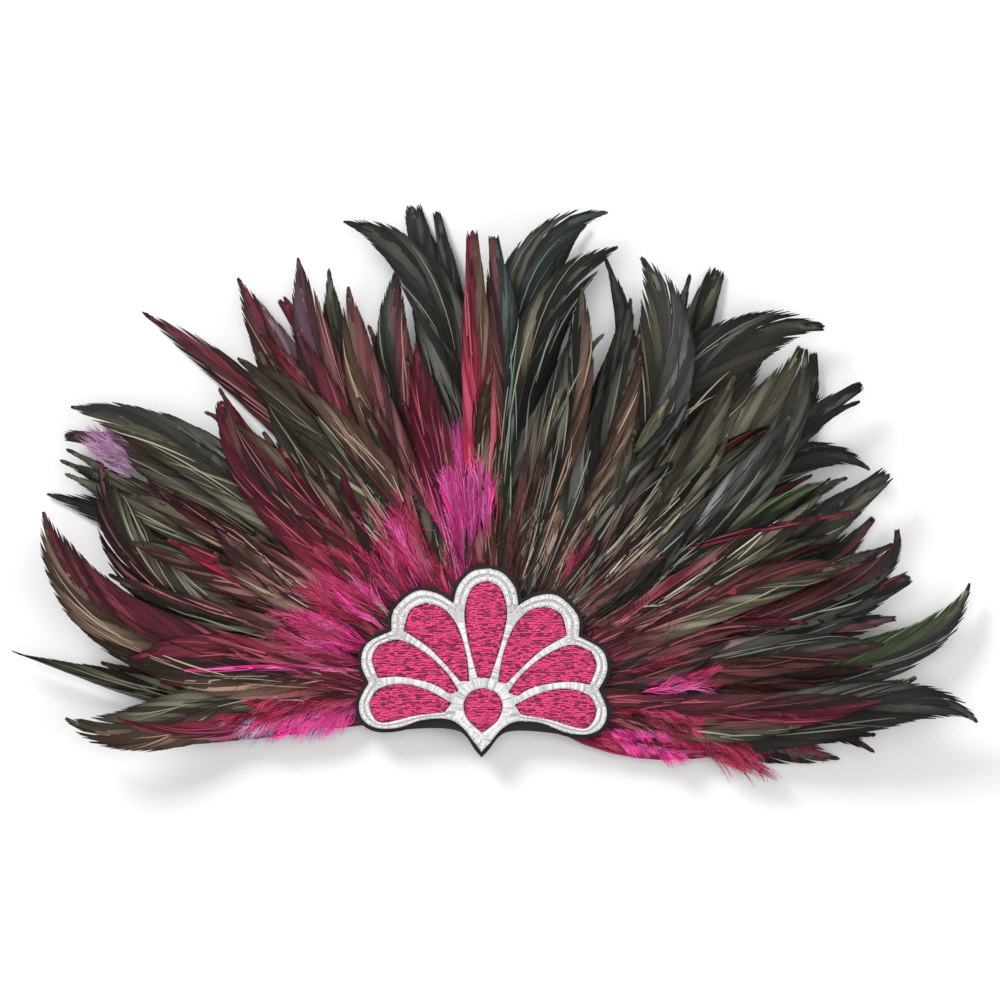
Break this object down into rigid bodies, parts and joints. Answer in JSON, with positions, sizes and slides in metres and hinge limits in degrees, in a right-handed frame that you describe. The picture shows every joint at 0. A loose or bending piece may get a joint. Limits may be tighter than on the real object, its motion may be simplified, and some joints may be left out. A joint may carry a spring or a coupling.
{
  "type": "carnival feather headdress",
  "caption": "Half-fan headdress of curved cock feathers in sewn rows behind an embroidered petal patch, with a down collar and a plain hair comb at the back.",
  "frame": {"origin": "middle of the comb's spine on its flat back, which lies on the table", "axes": "+X to the right and +Y up as the headdress is worn and as the picture shows it, +Z forward, away from the forehead"},
  "size_m": [0.3852, 0.2224, 0.0361],
  "materials": {
    "comb_plastic": "moulded black plastic",
    "dyed_feather": "bronze-black cock feather with magenta dye",
    "magenta_down": "fluffy magenta down",
    "black_twill": "black twill",
    "silver_thread": "silver satin stitch",
    "magenta_thread": "magenta fill stitch"
  },
  "bodies": {
    "root": {"hair_comb": "comb_plastic", "feather_row_1": "dyed_feather", "feather_row_2": "dyed_feather", "feather_row_3": "dyed_feather", "feather_row_4": "dyed_feather", "feather_row_5": "dyed_feather", "down_collar": "magenta_down", "patch_base": "black_twill", "silver_border": "silver_thread", "petal_1": "magenta_thread", "petal_2": "magenta_thread", "petal_3": "magenta_thread", "petal_4": "magenta_thread", "petal_5": "magenta_thread", "petal_6": "magenta_thread", "petal_7": "magenta_thread", "centre_drop": "magenta_thread"}
  },
  "joints": []
}
